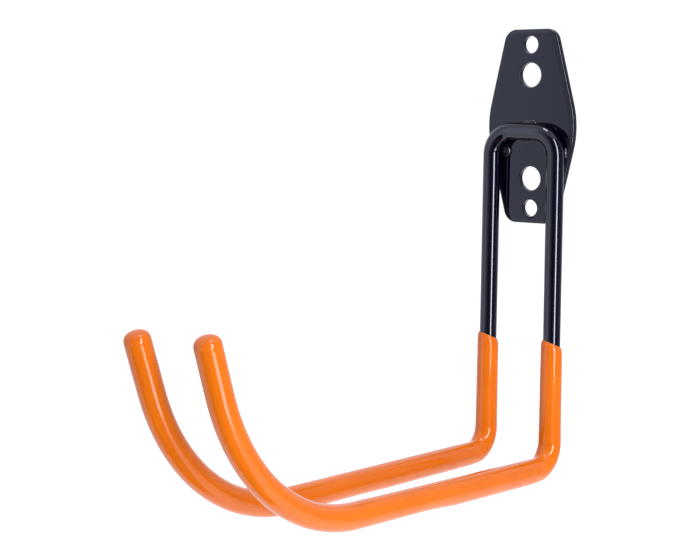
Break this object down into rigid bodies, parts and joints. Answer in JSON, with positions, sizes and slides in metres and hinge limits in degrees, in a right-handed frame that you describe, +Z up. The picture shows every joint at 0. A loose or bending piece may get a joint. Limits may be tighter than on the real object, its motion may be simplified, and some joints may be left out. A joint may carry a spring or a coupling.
{
  "type": "bicycle wall rack",
  "caption": "Wall plate with a bent steel rod that makes a pair of upturned, vinyl-coated arms for hanging a bicycle by its frame.",
  "frame": {"origin": "centre of the wall plate's back face, which lies on the wall", "axes": "+Y into the wall, +Z up, +X to the right for someone facing the wall; the arms reach towards -Y"},
  "size_m": [0.0468, 0.246, 0.2094],
  "materials": {
    "plate_paint": "gloss black paint on flat steel, with a faint ripple in its reflections",
    "rod_paint": "gloss black paint on round steel rod and its welds",
    "orange_vinyl": "soft dip-coated vinyl, smooth, with a semi-gloss sheen and a rounded edge"
  },
  "bodies": {
    "root": {"wall_plate": "plate_paint", "hook_rod": "rod_paint", "left_arm_coating": "orange_vinyl", "right_arm_coating": "orange_vinyl", "weld_crossbar": "rod_paint", "weld_left_inner": "rod_paint", "weld_left_outer": "rod_paint", "weld_right_inner": "rod_paint", "weld_right_outer": "rod_paint"}
  },
  "joints": []
}
